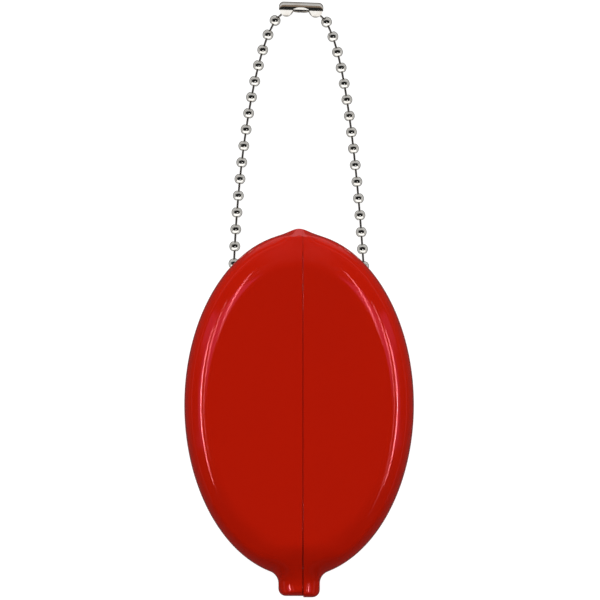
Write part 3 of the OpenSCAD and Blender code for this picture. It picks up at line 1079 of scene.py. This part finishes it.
studio = {
    "distance": 2.0,  # m, of the lights from the purse
    "keyTurn": 90,  # degrees from +X, seen from above
    "keyZenith": 40,  # degrees from straight up
    "keySize": 36,
    "keyPower": 25.0,
    "dome": 0.6,  # even light from the sky, which falls off towards the spout
    "domeSlope": 0.42,
    "skyMirrored": 0.015,
    "floorSeen": 0.96,
    "floorColour": 0.18,
    "floorMirrored": 0.05,
    "floorBounce": 0.9,
    "floorHeight": -0.00002,  # m, so that the purse rests just above it
    "floorLampHeight": -0.00001,
    "floorReach": 6.0,
    "lineWidth": 1.3,  # degrees
    "lineFade": 0.35,  # radiance left at the ends of a line
    # The lines of light that the left of the rim mirrors, with the radiance at both ends and the
    # places as (turn, zenith). The right side has them mirrored.
    "lines": {
        "outerLine": ((90, 80), ((159, 48), (170, 44.5), (181, 43), (192, 44), (203, 48))),
        "middleLine": (
            (28, 20), ((148, 45), (155, 40.5), (163, 34.5), (171, 29.5), (182, 27.5), (194, 30)),
        ),
        "innerLine": ((32, 14), ((128, 40), (135, 36), (141, 31.5), (147, 26), (153, 19.5), (159, 12))),
    },
    "rightTail": ((8, 3), ((-14, 31), (-19, 38), (-27, 44), (-36, 49))),
    # Softboxes as turn, zenith, width and height in degrees, radiance and tint
    "sideBoxes": {
        "InnerBand": (152, 26, 16, 22, 1.7, (1.0, 0.45, 1.0)),
        "OuterBand": (173, 50, 30, 10, 1.2, (1.0, 0.45, 1.0)),
        "Horizon": (174, 75, 64, 12, 0.5, (1, 1, 1)),
    },
    # The same, with the finish that each is for and its tint if it has one
    "softboxes": {
        "backGlow": (90, 64, 110, 48, 0.14, "vinyl"),
        "backHorizon": (90, 75, 100, 12, 0.5, "vinyl"),
        "frontHorizon": (-90, 75, 100, 12, 0.08, "vinyl"),
        "frontForChain": (-90, 61, 120, 58, 1.5, "chain"),
        "backForChain": (90, 68, 120, 44, 0.6, "chain"),
        "leftForChain": (180, 76, 44, 26, 0.5, "chain"),
        "rightForChain": (0, 76, 44, 26, 0.7, "chain"),
        "splitForChain": (-55, 13, 26, 6, 2.6, "chain"),
        "overInside": (90, 20, 70, 70, 0.35, "inside"),
        "frontForClasp": (-90, 46, 120, 84, 1.25, "clasp"),
        "warmForClasp": (90, 53, 110, 24, 0.28, "clasp", (1, 0.74, 0.55)),
        "backForClasp": (90, 79, 130, 26, 0.7, "clasp"),
    },
    # Lamps that lie on the floor as Y of the middle in mm, then the same from their width on
    "floorLamps": {
        "floorForChain": (0, 20, 20, 0.7, "chain"),
        "floorForClasp": (0, 20, 20, 0.55, "clasp"),
        "floorForNib": (60, 1.4, 0.9, 0.5, "vinyl", (1.0, 0.45, 0.5)),
    },
}


def gather(name, *slots, inside=False):
    # Softboxes can be meant for one finish alone.
    group = bpy.data.collections.new(name)
    bpy.context.scene.collection.children.link(group)
    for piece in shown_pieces():
        if piece.get("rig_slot") in slots and piece.name.startswith("purseChain") == inside:
            group.objects.link(piece)
    return group


for piece in (purseBack, bpy.data.objects["leftLip"], bpy.data.objects["rightLip"]):
    piece.visible_glossy = False  # the photo's chain hardly shows the purse
litPieces = {
    "vinyl": gather("vinylPieces", "red_vinyl"),
    "chain": gather("chainPieces", "ball_steel", "pin_steel"),
    "clasp": gather("claspPieces", "clasp_steel"),
    "inside": gather("insidePieces", "ball_steel", "pin_steel", inside=True),
}


def wayTo(turn, zenith):
    a, z = math.radians(turn), math.radians(zenith)
    return Vector((math.cos(a) * math.sin(z), math.sin(a) * math.sin(z), math.cos(z)))


def hangLamp(name, away, across, size, radiance, only, colour=(1, 1, 1)):
    # A rectangle of light that faces the purse, seen in gloss alone. Its size is in degrees.
    data = bpy.data.lights.new(name, "AREA")
    data.shape = "RECTANGLE"
    data.size, data.size_y = (2 * studio["distance"] * math.tan(math.radians(angle) / 2) for angle in size)
    data.energy = radiance * math.pi * data.size * data.size_y
    data.color = colour
    lamp = addObject(name, data)
    lamp.matrix_world = Matrix((across, away.cross(across), away)).transposed().to_4x4()
    lamp.location = away * studio["distance"]
    lamp.visible_camera = lamp.visible_diffuse = False
    lamp.light_linking.receiver_collection = only
    return lamp


def softbox(name, turn, zenith, size, radiance, only=None, colour=(1, 1, 1)):
    across = wayTo(turn + 90, 90)
    return hangLamp(name, wayTo(turn, zenith), across, size, radiance, only, colour)


def smoothCurve(points, along):
    # Passes through every point, turning evenly between them.
    way = np.gradient(points, axis=0)
    i = np.minimum(along.astype(int), len(points) - 2)
    t = (along - i)[:, None]
    a, b = points[i], points[i + 1]
    bend = (way[i] - (b - a)) * (1 - t) + ((b - a) - way[i + 1]) * t
    return a * (1 - t) + b * t + t * (1 - t) * bend


def lightLine(name, radiances, path):
    # A thin curved line of light, of short straight lamps, that fades at its ends.
    along = np.linspace(0, len(path) - 1, 2 * len(path) - 1)
    curve = smoothCurve(np.array(path, float), along)
    ways = [wayTo(*point) for point in curve]
    for i, (a, b) in enumerate(zip(ways, ways[1:])):
        share = i / (len(ways) - 2)
        fade = min(1, studio["lineFade"] + 2 * min(share, 1 - share))
        radiance = (radiances[0] + (radiances[1] - radiances[0]) * share) * fade
        size = (math.degrees(a.angle(b)), studio["lineWidth"])
        away, across = (a + b).normalized(), (b - a).normalized()
        hangLamp(f"{name}{i}", away, across, size, radiance, litPieces["vinyl"])


def lightSide(side):
    def onSide(turn):
        return turn if side == "left" else 180 - turn

    for line, (radiances, path) in studio["lines"].items():
        lightLine(side + line, radiances, [(onSide(turn), zenith) for turn, zenith in path])
    for name, (turn, zenith, width, height, radiance, tint) in studio["sideBoxes"].items():
        softbox(side + name, onSide(turn), zenith, (width, height), radiance, litPieces["vinyl"], tint)


def floorLamp(name, middleY, size, radiance, only, colour=(1, 1, 1)):
    # Light that only mirrored rays find, on the floor
    lamp = softbox(name, 0, 0, size, radiance, only, colour)
    lamp.rotation_euler = (math.pi, 0, 0)
    lamp.location = (0, middleY * millimetre, studio["floorLampHeight"])


key = softbox("keyLight", studio["keyTurn"], studio["keyZenith"], (studio["keySize"],) * 2, 0)
key.data.energy = studio["keyPower"]
key.visible_diffuse, key.visible_glossy = True, False
lightSide("left")
lightSide("right")
lightLine("rightTail", *studio["rightTail"])
for name, (turn, zenith, width, height, radiance, finish, *tint) in studio["softboxes"].items():
    softbox(name, turn, zenith, (width, height), radiance, litPieces[finish], *tint)
for name, (middleY, width, height, radiance, finish, *tint) in studio["floorLamps"].items():
    floorLamp(name, middleY, (width, height), radiance, litPieces[finish], *tint)


def rayKinds(tree):
    path = addNode(tree, "ShaderNodeLightPath")
    return [Field(tree, path.outputs[f"Is {kind} Ray"]) for kind in ("Camera", "Diffuse", "Glossy")]


def makeFloor():
    reach = studio["floorReach"]
    corners = [(x * reach, y * reach, 0) for x, y in ((-1, -1), (1, -1), (1, 1), (-1, 1))]
    floor = meshFrom("floor", corners, [[0, 1, 2, 3]])
    floor.location.z = studio["floorHeight"]
    values = {"Roughness": 0.9, "Specular IOR Level": 0.0, "Emission Color": (1, 1, 1, 1)}
    material, tree, shader = newMaterial("paleFloor", values)
    seen, bounce, glossy = rayKinds(tree)
    glow = seen * studio["floorSeen"] + bounce * studio["floorBounce"] + glossy * studio["floorMirrored"]
    feed(tree, shader, {"Emission Strength": glow, "Base Color": (1 - glossy) * studio["floorColour"]})
    floor.data.materials.append(material)


def makeSky():
    # White to the camera, nearly black in gloss, and a dome of soft light for the rest
    world = bpy.data.worlds.new("studioSky")
    bpy.context.scene.world = world
    world.use_nodes = True
    tree = world.node_tree
    _, y, _ = splitVector(tree, addNode(tree, "ShaderNodeTexCoord"))
    seen, _, glossy = rayKinds(tree)
    dome = (y * studio["domeSlope"] + studio["dome"]) * (1 - seen - glossy)
    strength = dome + seen + glossy * studio["skyMirrored"]
    feed(tree, tree.nodes["Background"], {"Strength": strength, "Color": (1, 1, 1, 1)})


makeFloor()
makeSky()
bpy.context.scene.view_settings.view_transform = "Standard"
print("studio made")
